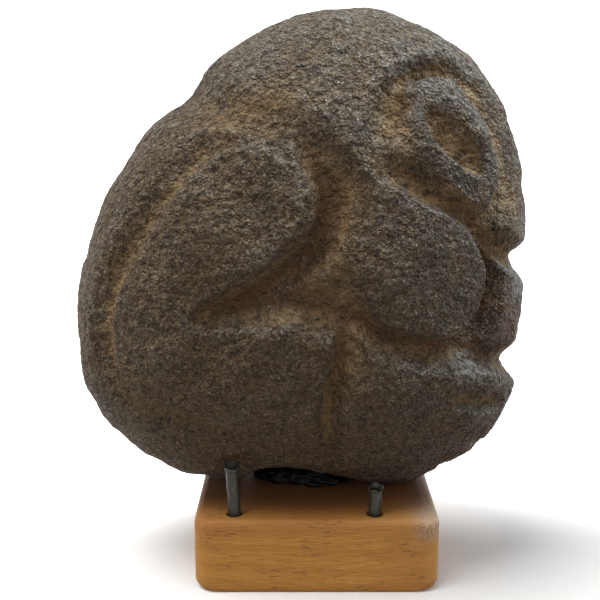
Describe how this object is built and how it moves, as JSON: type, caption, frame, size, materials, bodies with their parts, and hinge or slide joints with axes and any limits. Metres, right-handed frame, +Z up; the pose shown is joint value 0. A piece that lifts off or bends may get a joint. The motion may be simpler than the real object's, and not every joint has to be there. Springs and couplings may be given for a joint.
{
  "type": "carved stone head sculpture",
  "caption": "Small hand-carved stone head with ringed eyes, broad cheeks and arms in low relief, resting on a square wood block; a tabletop display sculpture.",
  "frame": {"origin": "middle of the footprint of the whole piece, on the surface the wood block stands on", "axes": "+X the way the face looks, +Y through the head's thickness, away from the side that the tube pins stand on, +Z up"},
  "size_m": [0.1502, 0.1015, 0.1835],
  "materials": {
    "stone": "hand-pecked dark volcanic stone, dull on the worn highs, with ochre dirt in the cuts",
    "wood": "planed softwood with a dull clear finish, worn edges and small tear-outs",
    "tube_metal": "grey-green satin, scuffed, with ragged cut rims",
    "putty": "black, half glossy, crumpled"
  },
  "bodies": {
    "root": {"stone_head": "stone", "wood_base": "wood", "tube_pin_back": "tube_metal", "tube_pin_front": "tube_metal", "putty_pad": "putty"}
  },
  "joints": []
}
